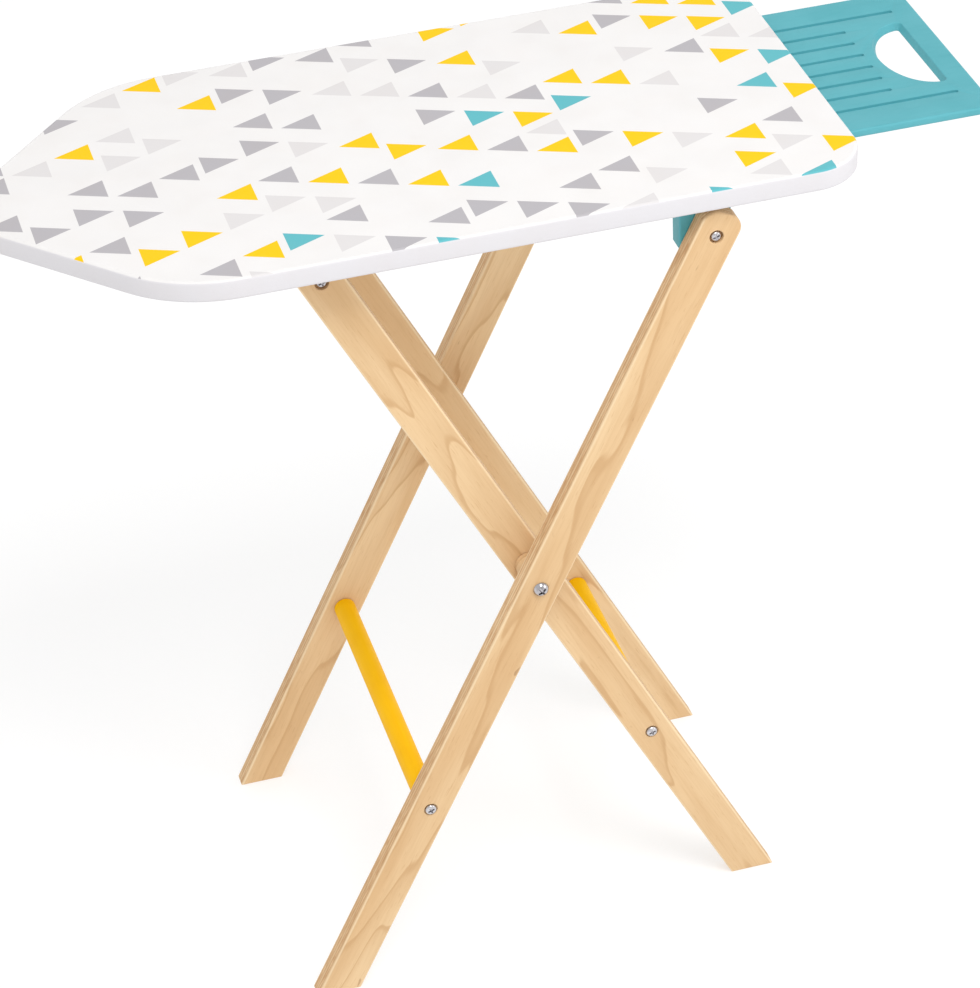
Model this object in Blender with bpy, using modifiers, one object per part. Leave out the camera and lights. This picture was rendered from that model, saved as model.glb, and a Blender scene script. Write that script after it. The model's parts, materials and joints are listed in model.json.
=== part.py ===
# Toy ironing board on a folding plywood scissor frame.
# Metres, +Z up. X runs from the nose to the iron rest, Y across the board.
# The origin is on the floor, under the middle of the whole length.

from math import asin, cos, hypot, pi, radians, sin, tan

import bmesh
import bpy
from mathutils import Matrix, Vector

# Driving dimensions of the board.
BOARD_TOP_HEIGHT = 0.536
BOARD_LENGTH = 0.495
BOARD_WIDTH = 0.242
BOARD_THICKNESS = 0.013
BOARD_EDGE_ROUND = 0.0016
BOARD_CORNER_RADIUS = 0.033
NOSE_TAPER_ANGLE = radians(47.6)
NOSE_RADIUS = 0.044
SHOULDER_RADIUS = 0.080

# Iron rest, a plate let into a pocket in the underside of the flat end.
REST_REACH = 0.092
REST_WIDTH = 0.153
REST_THICKNESS = 0.005
REST_DROP = 0.005
REST_TONGUE = 0.046
REST_CORNER_RADIUS = 0.010
REST_EDGE_ROUND = 0.0014
GROOVE_COUNT = 8
GROOVE_MARGIN = 0.0237
GROOVE_WIDTH = 0.0030
GROOVE_DEPTH = 0.0015
GROOVE_END_FLAT = 0.0001
GROOVE_TO_GRIP = 0.0084
GROOVE_TO_END = 0.0140
GROOVE_RUN_IN = 0.006
GRIP_WIDTH = 0.0734
GRIP_LENGTH = 0.0247
GRIP_END_WALL = 0.0164
GRIP_CORNER_RADIUS = 0.0012
REST_SCREW_COUNT = 3
REST_SCREW_MARGIN = 0.0215
REST_SCREW_COVER = 0.0014

# Scissor frame.
LEG_ANGLE = radians(63.2)
LEG_WIDTH = 0.025
LEG_THICKNESS = 0.012
LEG_TOP_OVERHANG = 0.0150
LEG_TOP_CORNER = 0.0090
LEG_EDGE_ROUND = 0.0008
LEG_TO_BOARD = 0.005
FRAME_INSET = 0.006
PIVOT_INSET = 0.203
UPPER_ARM = 0.2465
LOWER_ARM = 0.168
DOWEL_DIAMETER = 0.014

# Blocks under the board.
HINGE_BLOCK_TO_NOSE = 0.018
HINGE_BLOCK_TO_END = 0.013
HINGE_BLOCK_WIDTH = 0.013
HINGE_BLOCK_BELOW_AXIS = 0.0115
BLOCK_EDGE_ROUND = 0.0010
BLOCK_TO_LEG = 0.003
CATCH_WIDTH = 0.026
CATCH_STOP_LENGTH = 0.014
CATCH_LEAD = 0.013
CATCH_STOP_BELOW_AXIS = 0.004
CATCH_TO_LEG = 0.005

# Fasteners.
WOOD_SCREW_SHANK = 0.0036
WOOD_SCREW_HEAD = 0.0072
WOOD_SCREW_HEAD_HEIGHT = 0.0022
HEAD_CROWN_SHARE = 0.72
HEAD_RIM_SHARE = 0.45
WOOD_SCREW_BITE = 0.022
LEG_SCREW_RECESS = 0.0012
DEEP_SCREW_RECESS = 0.0026
HINGE_SCREW_COVER = 0.0025
BLOCK_SCREW_COVER = 0.006
BLOCK_SCREW_MARGIN = 0.007
BLOCK_SCREW_RECESS = 0.003
CATCH_SCREW_MARGIN = 0.0055
REST_SCREW_HEAD_HEIGHT = 0.0018
PIVOT_BOLT_SHANK = 0.0056
PIVOT_BOLT_RIM = 0.0015
PIVOT_BOLT_DOME = 0.0032
PIVOT_SPACER_WALL = 0.0049
PIVOT_INSERT_WALL = 0.0014
PIVOT_INSERT_COVER = 0.0022

# Clearances.
FIT = 0.0003
SLIDE_FIT = 0.0004
CUT_MARGIN = 0.002

# Roundness of arcs and turned pieces.
ARC_STEP = radians(9)
TURN_STEPS = 20
SCREW_STEPS = 14
DOME_STEPS = 4

# Tolerances of the meshes.
MERGE_DISTANCE = 0.00001
FLAT_ANGLE = radians(0.5)
SHARP_ANGLE = radians(50)
SHORTEST_EDGE = 0.0002

# Places that follow from the driving dimensions.
OVERALL_LENGTH = BOARD_LENGTH + REST_REACH
REST_END_X = OVERALL_LENGTH / 2
BOARD_END_X = REST_END_X - REST_REACH
NOSE_X = -OVERALL_LENGTH / 2
UNDERSIDE_Z = BOARD_TOP_HEIGHT - BOARD_THICKNESS
REST_TOP_Z = BOARD_TOP_HEIGHT - REST_DROP
REST_BOTTOM_Z = REST_TOP_Z - REST_THICKNESS
PIVOT_X = BOARD_END_X - PIVOT_INSET
HINGE_X = PIVOT_X + UPPER_ARM * cos(LEG_ANGLE)
TOP_CORNER = min(LEG_TOP_CORNER, (LEG_WIDTH - SHORTEST_EDGE) / 2)
LEG_TOP_SWING = hypot(LEG_TOP_OVERHANG - TOP_CORNER, LEG_WIDTH / 2 - TOP_CORNER) + TOP_CORNER
HINGE_Z = UNDERSIDE_Z - LEG_TO_BOARD - LEG_TOP_SWING
PIVOT_Z = HINGE_Z - UPPER_ARM * sin(LEG_ANGLE)
TOP_BAR_X = PIVOT_X - UPPER_ARM * cos(LEG_ANGLE)
FRAME_GAP = HINGE_BLOCK_WIDTH + BLOCK_TO_LEG
OUTER_FACE_Y = BOARD_WIDTH / 2 - FRAME_INSET
OUTER_INNER_Y = OUTER_FACE_Y - LEG_THICKNESS
INNER_FACE_Y = OUTER_INNER_Y - FRAME_GAP
INNER_INNER_Y = INNER_FACE_Y - LEG_THICKNESS
HINGE_BLOCK_Y = OUTER_INNER_Y - FIT - HINGE_BLOCK_WIDTH / 2
HINGE_BLOCK_BOTTOM_Z = HINGE_Z - HINGE_BLOCK_BELOW_AXIS
CATCH_Y = INNER_INNER_Y - CATCH_TO_LEG - CATCH_WIDTH / 2
LONG_GROOVE_REACH = REST_REACH - GROOVE_TO_END
SHORT_GROOVE_REACH = REST_REACH - GRIP_END_WALL - GRIP_LENGTH - GROOVE_TO_GRIP
GROOVE_PITCH = (REST_WIDTH - 2 * GROOVE_MARGIN) / (GROOVE_COUNT - 1)
REST_SCREW_SPACING = (REST_WIDTH - 2 * REST_SCREW_MARGIN) / (REST_SCREW_COUNT - 1)
BLOCK_SCREW_BITE = BOARD_THICKNESS - BLOCK_SCREW_COVER
HINGE_BLOCK_SCREWS = (BLOCK_SCREW_MARGIN - HINGE_BLOCK_TO_NOSE, HINGE_BLOCK_TO_END - BLOCK_SCREW_MARGIN)
CATCH_SCREW_SPACING = CATCH_WIDTH - 2 * CATCH_SCREW_MARGIN
SIDES = {"near": -1, "far": 1}

PLYWOOD = ((0.78, 0.55, 0.31), 0.55, 0.0)
WHITE_PAINT = ((0.88, 0.87, 0.87), 0.40, 0.0)
TEAL_PAINT = ((0.16, 0.52, 0.58), 0.42, 0.0)
YELLOW_PAINT = ((0.87, 0.47, 0.01), 0.40, 0.0)
STEEL = ((0.62, 0.62, 0.64), 0.28, 1.0)


def clear_scene():
    for item in list(bpy.data.objects):
        bpy.data.objects.remove(item, do_unlink=True)


def collection(name):
    group = bpy.data.collections.new(name)
    bpy.context.scene.collection.children.link(group)
    return group


clear_scene()
PARTS = collection("toy_ironing_board")
CUTTERS = collection("cutters")


def frame_empty(name, location, parent=None):
    empty = bpy.data.objects.new(name, None)
    empty.empty_display_size = LEG_WIDTH
    PARTS.objects.link(empty)
    place(empty, Matrix.Translation(location), parent)
    return empty


def world_of(item):
    if item is None:
        return Matrix.Identity(4)
    return world_of(item.parent) @ item.matrix_parent_inverse @ item.matrix_basis


def place(item, matrix, parent=None):
    item.matrix_basis = matrix
    if parent:
        item.parent = parent
        item.matrix_parent_inverse = world_of(parent).inverted()


def paint(item, finish):
    colour, roughness, metallic = finish
    material = bpy.data.materials.new(item.name)
    material.use_nodes = True
    shader = material.node_tree.nodes["Principled BSDF"]
    shader.inputs["Base Color"].default_value = (*colour, 1.0)
    shader.inputs["Roughness"].default_value = roughness
    shader.inputs["Metallic"].default_value = metallic
    item.data.materials.append(material)


def piece(item, finish, matrix, parent):
    paint(item, finish)
    place(item, matrix, parent)
    return item


def rounded(corners):
    """Points of a closed outline whose corners (x, y, radius) are rounded by arcs."""
    points = []
    count = len(corners)
    for i, (x, y, radius) in enumerate(corners):
        here = Vector((x, y))
        back = (Vector(corners[i - 1][:2]) - here).normalized()
        ahead = (Vector(corners[(i + 1) % count][:2]) - here).normalized()
        if radius == 0:
            points.append((x, y))
            continue
        half = back.angle(ahead) / 2
        middle = here + (back + ahead).normalized() * (radius / sin(half))
        start = here + back * (radius / tan(half)) - middle
        turn = pi - 2 * half
        if back.cross(ahead) > 0:
            turn = -turn
        steps = 2 * max(1, round(abs(turn) / (2 * ARC_STEP)))
        for k in range(steps + 1):
            points.append(tuple(middle + Matrix.Rotation(turn * k / steps, 2) @ start))
    return points


def prism(name, outline, thickness, group):
    """A flat outline in local XY, thickened equally to both sides of local Z, as a mesh."""
    curve = bpy.data.curves.new(name, "CURVE")
    curve.dimensions = "2D"
    curve.fill_mode = "BOTH"
    curve.extrude = thickness / 2
    spline = curve.splines.new("POLY")
    spline.points.add(len(outline) - 1)
    for point, (x, y) in zip(spline.points, outline):
        point.co = (x, y, 0, 1)
    spline.use_cyclic_u = True
    drawn = bpy.data.objects.new(name + "_outline", curve)
    bpy.context.scene.collection.objects.link(drawn)
    depsgraph = bpy.context.evaluated_depsgraph_get()
    mesh = bpy.data.meshes.new_from_object(drawn.evaluated_get(depsgraph))
    mesh.name = name
    bpy.data.objects.remove(drawn, do_unlink=True)
    bpy.data.curves.remove(curve)
    shape = bmesh.new()
    shape.from_mesh(mesh)
    bmesh.ops.remove_doubles(shape, verts=shape.verts, dist=MERGE_DISTANCE)
    bmesh.ops.dissolve_limit(shape, angle_limit=FLAT_ANGLE, verts=shape.verts, edges=shape.edges)
    bmesh.ops.recalc_face_normals(shape, faces=shape.faces)
    shape.to_mesh(mesh)
    shape.free()
    mesh.shade_smooth()
    mesh.set_sharp_from_angle(angle=SHARP_ANGLE)
    item = bpy.data.objects.new(name, mesh)
    group.objects.link(item)
    return item


def ease_edges(item, width, segments=2):
    bevel = item.modifiers.new("eased_edges", "BEVEL")
    bevel.width = width
    bevel.segments = segments
    bevel.limit_method = "ANGLE"
    bevel.angle_limit = SHARP_ANGLE


def turned(name, profile, steps, group):
    """A shape turned about local Z from its outer profile of (radius, height), top to bottom."""
    mesh = bpy.data.meshes.new(name)
    closed = profile[0][0] > 0
    edges = [(i, i + 1) for i in range(len(profile) - 1)]
    if closed:
        edges.append((len(profile) - 1, 0))
    mesh.from_pydata([(radius, 0, height) for radius, height in profile], edges, [])
    item = bpy.data.objects.new(name, mesh)
    group.objects.link(item)
    screw = item.modifiers.new("turn", "SCREW")
    screw.steps = steps
    screw.render_steps = steps
    screw.use_merge_vertices = True
    screw.merge_threshold = MERGE_DISTANCE
    screw.use_smooth_shade = True
    return item


def cut(item, cutter):
    boolean = item.modifiers.new(cutter.name, "BOOLEAN")
    boolean.operation = "DIFFERENCE"
    boolean.solver = "EXACT"
    boolean.object = cutter


def as_cutter(item, matrix):
    item.matrix_basis = matrix
    item.hide_render = True
    item.display_type = "WIRE"
    return item


def bore(item, name, profile, matrix, steps=SCREW_STEPS):
    """Cuts a turned hole, given by its outer profile about the local axis that matrix places."""
    cut(item, as_cutter(turned(name, profile, steps, CUTTERS), matrix))


def straight_bore(diameter, top, bottom):
    radius = diameter / 2
    return [(0, top), (radius, top), (radius, bottom), (0, bottom)]


def outward(x, y, z, side):
    """Places local Z along the outward Y direction of a side."""
    return Matrix.Translation((x, y, z)) @ Matrix.Rotation(-side * pi / 2, 4, "X")


def downward(x, y, z):
    """Places local Z straight down."""
    return Matrix.Translation((x, y, z)) @ Matrix.Rotation(pi, 4, "X")


def upright(x, y, z):
    """Places an outline drawn in local XY into the XZ plane."""
    return Matrix.Translation((x, y, z)) @ Matrix.Rotation(pi / 2, 4, "X")


def along_leg(angle, y):
    """Places local X along a leg that rises from the pivot at this angle, at y across the board."""
    turn = Matrix.Rotation(-angle, 4, "Y") @ Matrix.Rotation(pi / 2, 4, "X")
    return Matrix.Translation((PIVOT_X, y, PIVOT_Z)) @ turn


def on_leg(angle, reach):
    """World X and Z of a point on a leg's centre line, at a reach from the pivot."""
    return PIVOT_X + reach * cos(angle), PIVOT_Z + reach * sin(angle)


OUTER_ANGLE = LEG_ANGLE
INNER_ANGLE = pi - LEG_ANGLE

# The two folding frames: the outer one turns on the hinge blocks, the inner one on the pivot bolts.
OUTER_FRAME = frame_empty("outer_frame_axis", (HINGE_X, 0, HINGE_Z))
INNER_FRAME = frame_empty("inner_frame_axis", (PIVOT_X, 0, PIVOT_Z), OUTER_FRAME)


def wood_screw(name, length, head_height, matrix, parent):
    """A pan-head wood screw whose head seats on local Z = 0, with its head on the +Z side."""
    head = WOOD_SCREW_HEAD / 2
    shank = WOOD_SCREW_SHANK / 2
    point = WOOD_SCREW_SHANK
    profile = [
        (0, head_height),
        (head * HEAD_CROWN_SHARE, head_height),
        (head, head_height * HEAD_RIM_SHARE),
        (head, 0),
        (shank, 0),
        (shank, point - length),
        (0, -length),
    ]
    return piece(turned(name, profile, SCREW_STEPS, PARTS), STEEL, matrix, parent)


def screw_hole(item, name, depth, recess, matrix):
    """Clearance hole for a wood screw, with a recess for its head, from a face at local Z = 0."""
    shank = WOOD_SCREW_SHANK / 2 + FIT
    head = WOOD_SCREW_HEAD / 2 + 2 * FIT
    profile = straight_bore(2 * shank, CUT_MARGIN, -depth)
    if recess:
        profile[1:2] = [(head, CUT_MARGIN), (head, -recess), (shank, -recess)]
    bore(item, name, profile, matrix)


def board_outline():
    half = BOARD_WIDTH / 2
    nose_apex = NOSE_X - NOSE_RADIUS * (1 / sin(NOSE_TAPER_ANGLE) - 1)
    shoulder = nose_apex + half / tan(NOSE_TAPER_ANGLE)
    return rounded(
        [
            (nose_apex, 0, NOSE_RADIUS),
            (shoulder, -half, SHOULDER_RADIUS),
            (BOARD_END_X, -half, BOARD_CORNER_RADIUS),
            (BOARD_END_X, half, BOARD_CORNER_RADIUS),
            (shoulder, half, SHOULDER_RADIUS),
        ]
    )


def make_board():
    board = prism("board_top", board_outline(), BOARD_THICKNESS, PARTS)
    ease_edges(board, BOARD_EDGE_ROUND, 3)
    middle_z = BOARD_TOP_HEIGHT - BOARD_THICKNESS / 2
    piece(board, WHITE_PAINT, Matrix.Translation((0, 0, middle_z)), None)
    make_rest_pocket(board)
    return board


def make_rest_pocket(board):
    back = BOARD_END_X - REST_TONGUE - FIT
    front = BOARD_END_X + CUT_MARGIN
    half = REST_WIDTH / 2 + FIT
    ceiling = REST_TOP_Z + FIT
    floor = UNDERSIDE_Z - CUT_MARGIN
    outline = rounded([(back, -half, 0), (front, -half, 0), (front, half, 0), (back, half, 0)])
    pocket = prism("rest_pocket", outline, ceiling - floor, CUTTERS)
    cut(board, as_cutter(pocket, Matrix.Translation((0, 0, (ceiling + floor) / 2))))


def make_rest(board):
    back = BOARD_END_X - REST_TONGUE
    half = REST_WIDTH / 2
    middle_z = REST_TOP_Z - REST_THICKNESS / 2
    outline = rounded(
        [
            (back, -half, 0),
            (REST_END_X, -half, REST_CORNER_RADIUS),
            (REST_END_X, half, REST_CORNER_RADIUS),
            (back, half, 0),
        ]
    )
    rest = prism("iron_rest", outline, REST_THICKNESS, PARTS)
    ease_edges(rest, REST_EDGE_ROUND)
    piece(rest, TEAL_PAINT, Matrix.Translation((0, 0, middle_z)), None)
    make_grip_hole(rest, middle_z)
    make_grooves(rest)
    make_rest_screws(board, rest)


def grip_outline():
    """Half an ellipse that bulges towards the board from a straight base."""
    base = REST_END_X - GRIP_END_WALL
    half = GRIP_WIDTH / 2
    corners = [(base, half, GRIP_CORNER_RADIUS)]
    steps = round(pi / ARC_STEP)
    for k in range(1, steps):
        turn = pi * k / steps
        corners.append((base - GRIP_LENGTH * sin(turn), half * cos(turn), 0))
    corners.append((base, -half, GRIP_CORNER_RADIUS))
    return rounded(corners)


def make_grip_hole(rest, middle_z):
    grip = prism("grip_hole", grip_outline(), REST_THICKNESS + 2 * CUT_MARGIN, CUTTERS)
    cut(rest, as_cutter(grip, Matrix.Translation((0, 0, middle_z))))


def make_grooves(rest):
    start = BOARD_END_X - GROOVE_RUN_IN
    half = GROOVE_WIDTH / 2
    floor = REST_TOP_Z - GROOVE_DEPTH
    ceiling = REST_TOP_Z + CUT_MARGIN
    round_end = (GROOVE_WIDTH - GROOVE_END_FLAT) / 2
    for i in range(GROOVE_COUNT):
        y = (i - (GROOVE_COUNT - 1) / 2) * GROOVE_PITCH
        outermost = i in (0, GROOVE_COUNT - 1)
        end = BOARD_END_X + (LONG_GROOVE_REACH if outermost else SHORT_GROOVE_REACH)
        outline = rounded(
            [
                (start, y - half, 0),
                (end, y - half, round_end),
                (end, y + half, round_end),
                (start, y + half, 0),
            ]
        )
        groove = prism(f"groove_{i + 1}", outline, ceiling - floor, CUTTERS)
        cut(rest, as_cutter(groove, Matrix.Translation((0, 0, (ceiling + floor) / 2))))


def make_rest_screws(board, rest):
    x = BOARD_END_X - REST_TONGUE / 2
    bite = REST_DROP - 2 * FIT - REST_SCREW_COVER
    seat_z = REST_BOTTOM_Z - FIT
    length = REST_THICKNESS + 2 * FIT + bite
    for i in range(REST_SCREW_COUNT):
        y = (i - (REST_SCREW_COUNT - 1) / 2) * REST_SCREW_SPACING
        here = downward(x, y, seat_z)
        wood_screw(f"iron_rest_screw_{i + 1}", length, REST_SCREW_HEAD_HEIGHT, here, None)
        screw_hole(rest, f"rest_hole_{i + 1}", REST_THICKNESS + CUT_MARGIN, 0, here)
        screw_hole(board, f"rest_pilot_{i + 1}", length + FIT, 0, here)


def make_hinge_block(board, side_name, side):
    y = side * HINGE_BLOCK_Y
    top_z = UNDERSIDE_Z - FIT
    left, right = -HINGE_BLOCK_TO_NOSE, HINGE_BLOCK_TO_END
    height = top_z - HINGE_BLOCK_BOTTOM_Z
    outline = rounded([(left, 0, 0), (right, 0, 0), (right, height, 0), (left, height, 0)])
    name = f"hinge_block_{side_name}"
    block = prism(name, outline, HINGE_BLOCK_WIDTH, PARTS)
    ease_edges(block, BLOCK_EDGE_ROUND)
    piece(block, TEAL_PAINT, upright(HINGE_X, y, HINGE_BLOCK_BOTTOM_Z), None)
    length = height - BLOCK_SCREW_RECESS + FIT + BLOCK_SCREW_BITE
    for i, reach in enumerate(HINGE_BLOCK_SCREWS):
        x = HINGE_X + reach
        face = downward(x, y, HINGE_BLOCK_BOTTOM_Z)
        seat = downward(x, y, HINGE_BLOCK_BOTTOM_Z + BLOCK_SCREW_RECESS - FIT)
        tag = f"{side_name}_{i + 1}"
        wood_screw(f"hinge_block_screw_{tag}", length, WOOD_SCREW_HEAD_HEIGHT, seat, None)
        screw_hole(block, f"hinge_block_hole_{tag}", height + CUT_MARGIN, BLOCK_SCREW_RECESS, face)
        screw_hole(board, f"hinge_block_pilot_{tag}", length + FIT, 0, seat)
    return block


def catch_outline():
    """Side of a catch block about the top bar's axis: a flat lead-in, a round seat and a stop."""
    seat = DOWEL_DIAMETER / 2 + SLIDE_FIT
    top = UNDERSIDE_Z - FIT - HINGE_Z
    stop_end = seat + CATCH_STOP_LENGTH
    outline = [(-CATCH_LEAD, top), (-CATCH_LEAD, seat)]
    steps = max(2, round(pi / 2 / ARC_STEP))
    for k in range(steps + 1):
        turn = pi / 2 * (1 - k / steps)
        outline.append((seat * cos(turn), seat * sin(turn)))
    outline += [(seat, -CATCH_STOP_BELOW_AXIS), (stop_end, -CATCH_STOP_BELOW_AXIS), (stop_end, top)]
    return outline


def make_catch_block(board, side_name, side):
    y = side * CATCH_Y
    name = f"catch_block_{side_name}"
    block = prism(name, catch_outline(), CATCH_WIDTH, PARTS)
    ease_edges(block, BLOCK_EDGE_ROUND / 2, 1)
    piece(block, TEAL_PAINT, upright(TOP_BAR_X, y, HINGE_Z), None)
    bottom_z = HINGE_Z - CATCH_STOP_BELOW_AXIS
    height = UNDERSIDE_Z - FIT - bottom_z
    x = TOP_BAR_X + DOWEL_DIAMETER / 2 + SLIDE_FIT + CATCH_STOP_LENGTH / 2
    length = height - BLOCK_SCREW_RECESS + FIT + BLOCK_SCREW_BITE
    for i in (0, 1):
        here_y = y + (i - 0.5) * CATCH_SCREW_SPACING
        face = downward(x, here_y, bottom_z)
        seat = downward(x, here_y, bottom_z + BLOCK_SCREW_RECESS - FIT)
        tag = f"{side_name}_{i + 1}"
        wood_screw(f"catch_block_screw_{tag}", length, WOOD_SCREW_HEAD_HEIGHT, seat, None)
        screw_hole(block, f"catch_block_hole_{tag}", height + CUT_MARGIN, BLOCK_SCREW_RECESS, face)
        screw_hole(board, f"catch_block_pilot_{tag}", length + FIT, 0, seat)


def leg_outline(angle):
    """Side of a leg about the pivot: rounded top corners and a foot cut flat to the floor."""
    half = LEG_WIDTH / 2
    top = UPPER_ARM + LEG_TOP_OVERHANG
    left_foot = -(PIVOT_Z + half * cos(angle)) / sin(angle)
    right_foot = -(PIVOT_Z - half * cos(angle)) / sin(angle)
    return rounded(
        [
            (left_foot, half, 0),
            (right_foot, -half, 0),
            (top, -half, TOP_CORNER),
            (top, half, TOP_CORNER),
        ]
    )


def make_leg(name, angle, face_y, side, parent):
    y = side * (face_y - LEG_THICKNESS / 2)
    leg = prism(name, leg_outline(angle), LEG_THICKNESS, PARTS)
    ease_edges(leg, LEG_EDGE_ROUND)
    return piece(leg, PLYWOOD, along_leg(angle, y), parent)


def dowel(name, at, half_length, parent):
    x, z = at
    radius = DOWEL_DIAMETER / 2
    profile = [(0, half_length), (radius, half_length), (radius, -half_length), (0, -half_length)]
    bar = turned(name, profile, TURN_STEPS, PARTS)
    return piece(bar, YELLOW_PAINT, outward(x, 0, z, 1), parent)


def fix_dowel(name, bar, leg, at, side, tag, recess=LEG_SCREW_RECESS):
    """Screws one end of a dowel through the leg that it butts against."""
    x, z = at
    parent = leg.parent
    face_y = OUTER_FACE_Y if parent is OUTER_FRAME else INNER_FACE_Y
    face = outward(x, side * face_y, z, side)
    seat = outward(x, side * (face_y - recess + FIT), z, side)
    length = LEG_THICKNESS - recess + 2 * FIT + WOOD_SCREW_BITE
    wood_screw(f"{name}_screw_{tag}", length, WOOD_SCREW_HEAD_HEIGHT, seat, parent)
    screw_hole(leg, f"{name}_leg_hole_{tag}", LEG_THICKNESS + CUT_MARGIN, recess, face)
    screw_hole(bar, f"{name}_pilot_{tag}", length + FIT, 0, seat)


def hinge_screw(leg, block, side_name, side):
    """The screw that an outer leg turns on, held in the hinge block."""
    face = outward(HINGE_X, side * OUTER_FACE_Y, HINGE_Z, side)
    seat = outward(HINGE_X, side * (OUTER_FACE_Y - DEEP_SCREW_RECESS + FIT), HINGE_Z, side)
    bite = HINGE_BLOCK_WIDTH - HINGE_SCREW_COVER
    length = LEG_THICKNESS - DEEP_SCREW_RECESS + 2 * FIT + bite
    wood_screw(f"hinge_screw_{side_name}", length, WOOD_SCREW_HEAD_HEIGHT, seat, None)
    screw_hole(leg, f"hinge_hole_{side_name}", LEG_THICKNESS + CUT_MARGIN, DEEP_SCREW_RECESS, face)
    screw_hole(block, f"hinge_pilot_{side_name}", length + FIT, 0, seat)


def pivot_spacer(side_name, side):
    inner = PIVOT_BOLT_SHANK / 2 + FIT
    outer = inner + PIVOT_SPACER_WALL
    half = FRAME_GAP / 2 - FIT
    profile = [(inner, half), (outer, half), (outer, -half), (inner, -half)]
    y = side * (INNER_FACE_Y + FRAME_GAP / 2)
    spacer = turned(f"pivot_spacer_{side_name}", profile, TURN_STEPS, PARTS)
    piece(spacer, PLYWOOD, outward(PIVOT_X, y, PIVOT_Z, side), OUTER_FRAME)


def dome_profile(radius, height, steps=DOME_STEPS):
    """A shallow dome over a circle, from its crown to its rim."""
    sphere = (radius**2 + height**2) / (2 * height)
    rim = asin(radius / sphere)
    turns = [rim * k / steps for k in range(steps + 1)]
    return [(sphere * sin(a), sphere * cos(a) - sphere + height) for a in turns]


def pivot_hardware(outer_leg, inner_leg, side_name, side):
    """A domed bolt that the outer leg turns on, held in a blind threaded insert in the inner leg."""
    shank = PIVOT_BOLT_SHANK / 2
    bore_radius = shank + FIT
    insert_radius = bore_radius + PIVOT_INSERT_WALL
    floor_y = INNER_INNER_Y + PIVOT_INSERT_COVER
    length = OUTER_FACE_Y - floor_y
    profile = dome_profile(shank + PIVOT_BOLT_RIM, PIVOT_BOLT_DOME)
    profile += [(shank, 0), (shank, -length), (0, -length)]
    bolt = turned(f"pivot_bolt_{side_name}", profile, SCREW_STEPS, PARTS)
    piece(bolt, STEEL, outward(PIVOT_X, side * (OUTER_FACE_Y + FIT), PIVOT_Z, side), INNER_FRAME)

    half = (INNER_FACE_Y - floor_y) / 2 - FIT
    ring = [(bore_radius, half), (insert_radius, half), (insert_radius, -half), (bore_radius, -half)]
    insert = turned(f"pivot_insert_{side_name}", ring, TURN_STEPS, PARTS)
    insert_y = side * (INNER_FACE_Y + floor_y) / 2
    piece(insert, STEEL, outward(PIVOT_X, insert_y, PIVOT_Z, side), INNER_FRAME)

    axis = outward(PIVOT_X, 0, PIVOT_Z, side)
    outer_hole = straight_bore(2 * bore_radius, OUTER_FACE_Y + CUT_MARGIN, OUTER_INNER_Y - CUT_MARGIN)
    inner_hole = straight_bore(2 * (insert_radius + FIT), INNER_FACE_Y + CUT_MARGIN, floor_y)
    bore(outer_leg, f"pivot_hole_outer_{side_name}", outer_hole, axis)
    bore(inner_leg, f"pivot_hole_inner_{side_name}", inner_hole, axis, TURN_STEPS)


def make_frames(blocks):
    outer_bar_at = on_leg(OUTER_ANGLE, -LOWER_ARM)
    inner_bar_at = on_leg(INNER_ANGLE, -LOWER_ARM)
    top_bar_at = (TOP_BAR_X, HINGE_Z)
    outer_bar = dowel("outer_crossbar", outer_bar_at, OUTER_INNER_Y - FIT, OUTER_FRAME)
    inner_bar = dowel("inner_crossbar", inner_bar_at, INNER_INNER_Y - FIT, INNER_FRAME)
    top_bar = dowel("inner_top_bar", top_bar_at, INNER_INNER_Y - FIT, INNER_FRAME)
    for tag, side in SIDES.items():
        outer = make_leg(f"outer_leg_{tag}", OUTER_ANGLE, OUTER_FACE_Y, side, OUTER_FRAME)
        inner = make_leg(f"inner_leg_{tag}", INNER_ANGLE, INNER_FACE_Y, side, INNER_FRAME)
        hinge_screw(outer, blocks[tag], tag, side)
        pivot_spacer(tag, side)
        pivot_hardware(outer, inner, tag, side)
        fix_dowel("outer_crossbar", outer_bar, outer, outer_bar_at, side, tag)
        fix_dowel("inner_crossbar", inner_bar, inner, inner_bar_at, side, tag)
        fix_dowel("inner_top_bar", top_bar, inner, top_bar_at, side, tag, DEEP_SCREW_RECESS)


board_top = make_board()
make_rest(board_top)
hinge_blocks = {tag: make_hinge_block(board_top, tag, side) for tag, side in SIDES.items()}
for tag, side in SIDES.items():
    make_catch_block(board_top, tag, side)
make_frames(hinge_blocks)
bpy.context.view_layer.update()
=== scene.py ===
# Toy ironing board: printed white top, grooved teal rest, plywood scissor legs and yellow dowels.
import json
from math import atan2, cos, hypot, pi, radians, sin, tan

import bmesh
import bpy
import numpy as np
from mathutils import Matrix, Vector

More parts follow.
